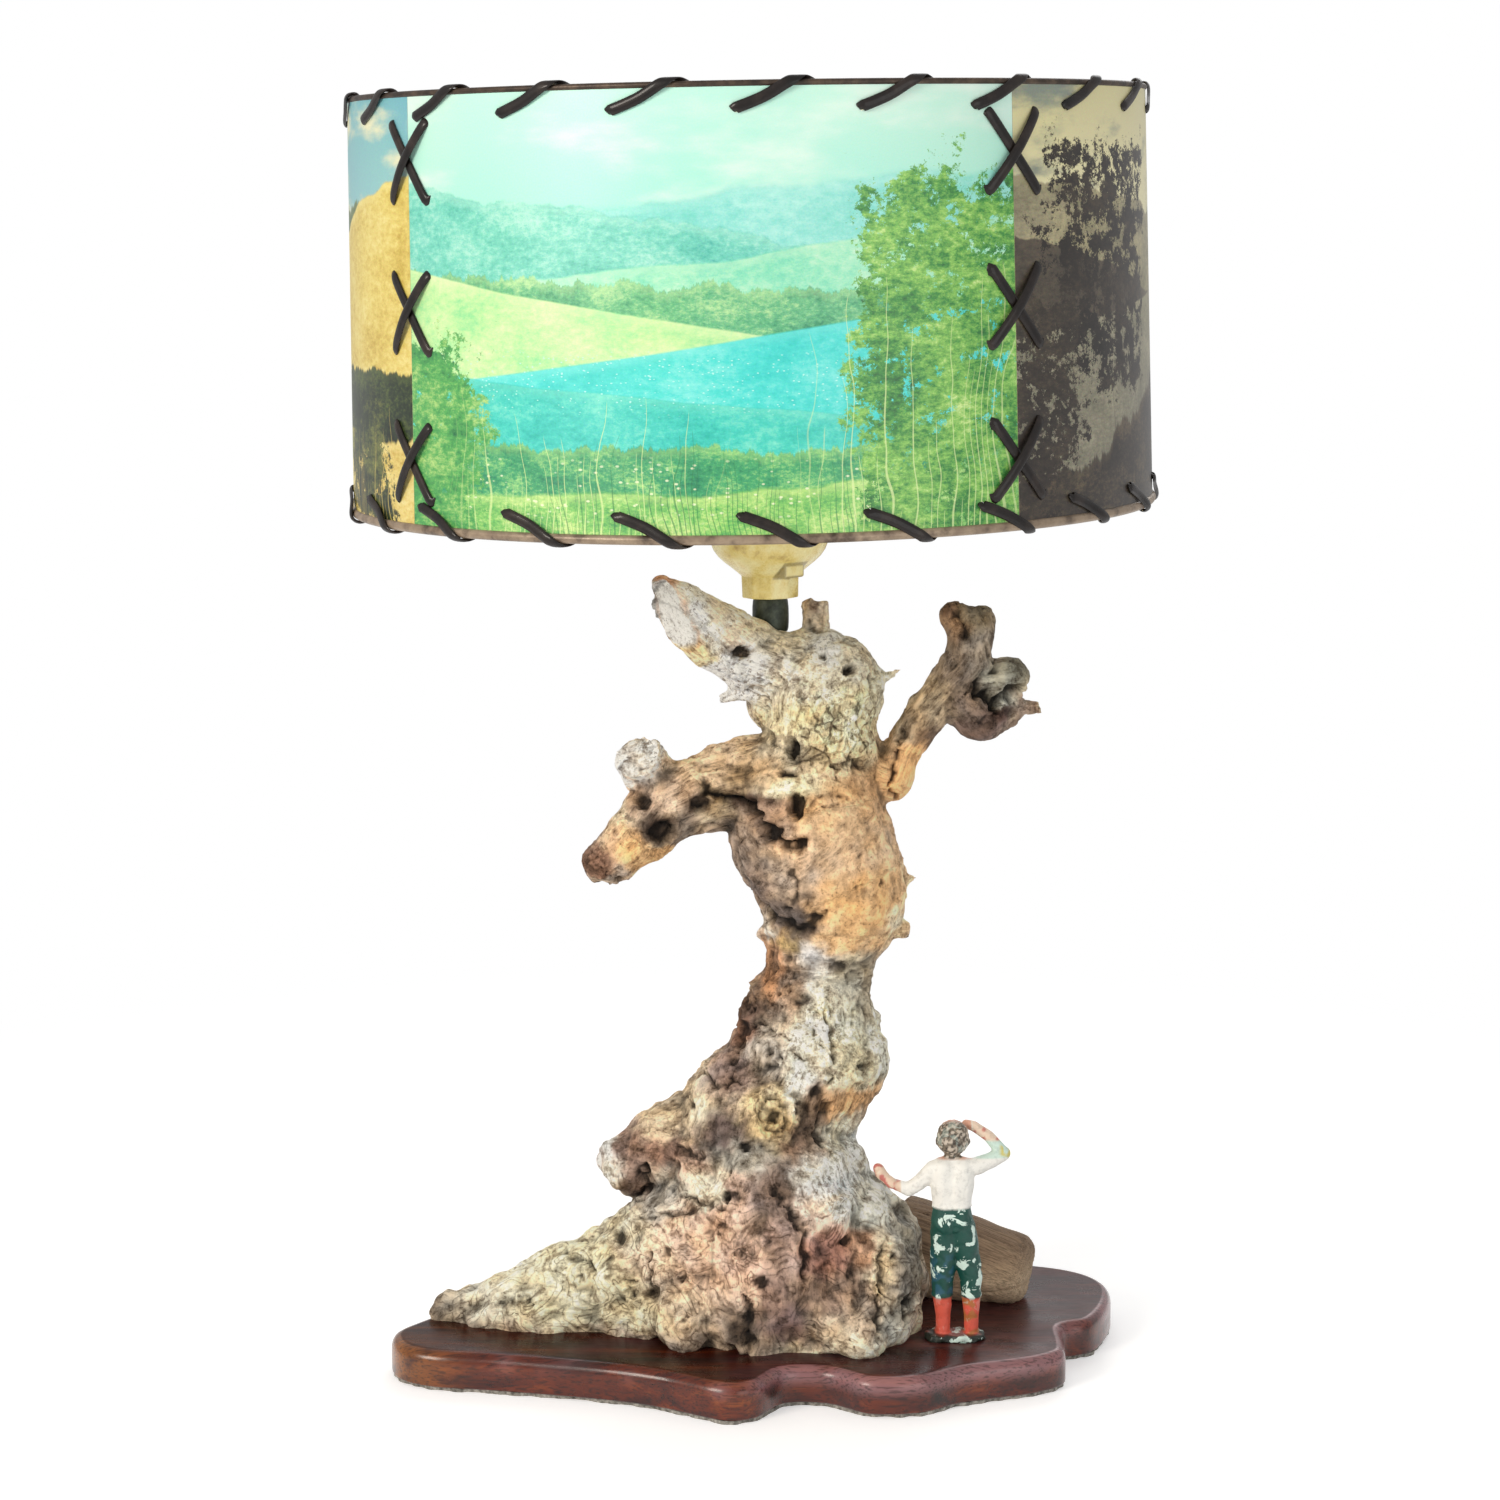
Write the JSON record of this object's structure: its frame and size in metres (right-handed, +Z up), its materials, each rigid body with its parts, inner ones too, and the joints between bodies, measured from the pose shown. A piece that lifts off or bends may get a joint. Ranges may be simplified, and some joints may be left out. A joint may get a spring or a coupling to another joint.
{
  "type": "driftwood lamp",
  "caption": "Table lamp: a driftwood burl, a log and a small standing figurine on a lobed board, with a lampholder, a bulb and a four-panel laced drum shade.",
  "frame": {"origin": "centre of the bottom of the part's box, under the centre of the shade's lower ring", "axes": "+Z up, +X to the right seen from the front, the front faces -Y"},
  "size_m": [0.2708, 0.2701, 0.4246],
  "materials": {
    "felt": "matte wool felt",
    "board": "semi-gloss varnished mahogany",
    "driftwood": "dry weathered driftwood",
    "steel": "zinc plated",
    "brass": "plain brass",
    "sleeve": "dark grey-green paint",
    "ivory": "yellowed ivory moulding",
    "phenolic": "dark brown phenolic",
    "frame_paint": "tan paint",
    "print": "printed and varnished shade paper",
    "lace": "dark brown polished lacing",
    "glass": "frosted glass",
    "figure": "chipped painted casting"
  },
  "bodies": {
    "base": {"felt_base": "felt", "base_board": "board", "driftwood_trunk": "driftwood", "driftwood_log": "driftwood", "trunk_screw_1": "steel", "trunk_screw_2": "steel", "log_screw": "steel", "pipe_locknut": "steel", "threaded_pipe": "brass", "cap_set_screw": "brass", "screw_shell": "brass", "centre_contact": "brass", "terminal_screw_left": "brass", "terminal_screw_right": "brass", "pipe_sleeve": "sleeve", "socket_cap": "ivory", "lampholder_body": "phenolic", "switch_block": "phenolic", "shade_ring_nut": "phenolic", "figurine": "figure"},
    "shade": {"fitter_ring": "frame_paint", "fitter_arm_1": "frame_paint", "fitter_arm_2": "frame_paint", "fitter_arm_3": "frame_paint", "bottom_ring": "frame_paint", "top_ring": "frame_paint", "shade_panel_front": "print", "shade_panel_right": "print", "shade_panel_back": "print", "shade_panel_left": "print", "top_lacing": "lace", "bottom_lacing": "lace", "seam_lacing_front": "lace", "seam_lacing_right": "lace", "seam_lacing_back": "lace", "seam_lacing_left": "lace"},
    "switch": {"switch_spindle": "brass", "switch_knob": "phenolic"},
    "bulb_thread": {"bulb_contact": "brass"},
    "bulb": {"bulb_cap": "steel", "bulb_glass": "glass"}
  },
  "joints": [
    {"name": "shade_turn", "type": "hinge", "parent": "base", "child": "shade", "pos_m": [0.00492, 0, 0.30191], "axis": [-0.0175, 0, 0.9998], "continuous": true},
    {"name": "switch_turn", "type": "hinge", "parent": "base", "child": "switch", "pos_m": [0.0051, 0.026, 0.29191], "axis": [0, 1, 0], "continuous": true},
    {"name": "bulb_lift", "type": "slide", "parent": "base", "child": "bulb_thread", "axis": [-0.0175, 0, 0.9998], "range_m": [0, 0.022]},
    {"name": "bulb_turn", "type": "hinge", "parent": "bulb_thread", "child": "bulb", "pos_m": [0.00457, 0, 0.32191], "axis": [-0.0175, 0, 0.9998], "range_deg": [0, 2200]}
  ],
  "couplings": [
    {"joint": "bulb_lift", "follows": "bulb_turn", "m_per_rad": 0.00057296}
  ]
}
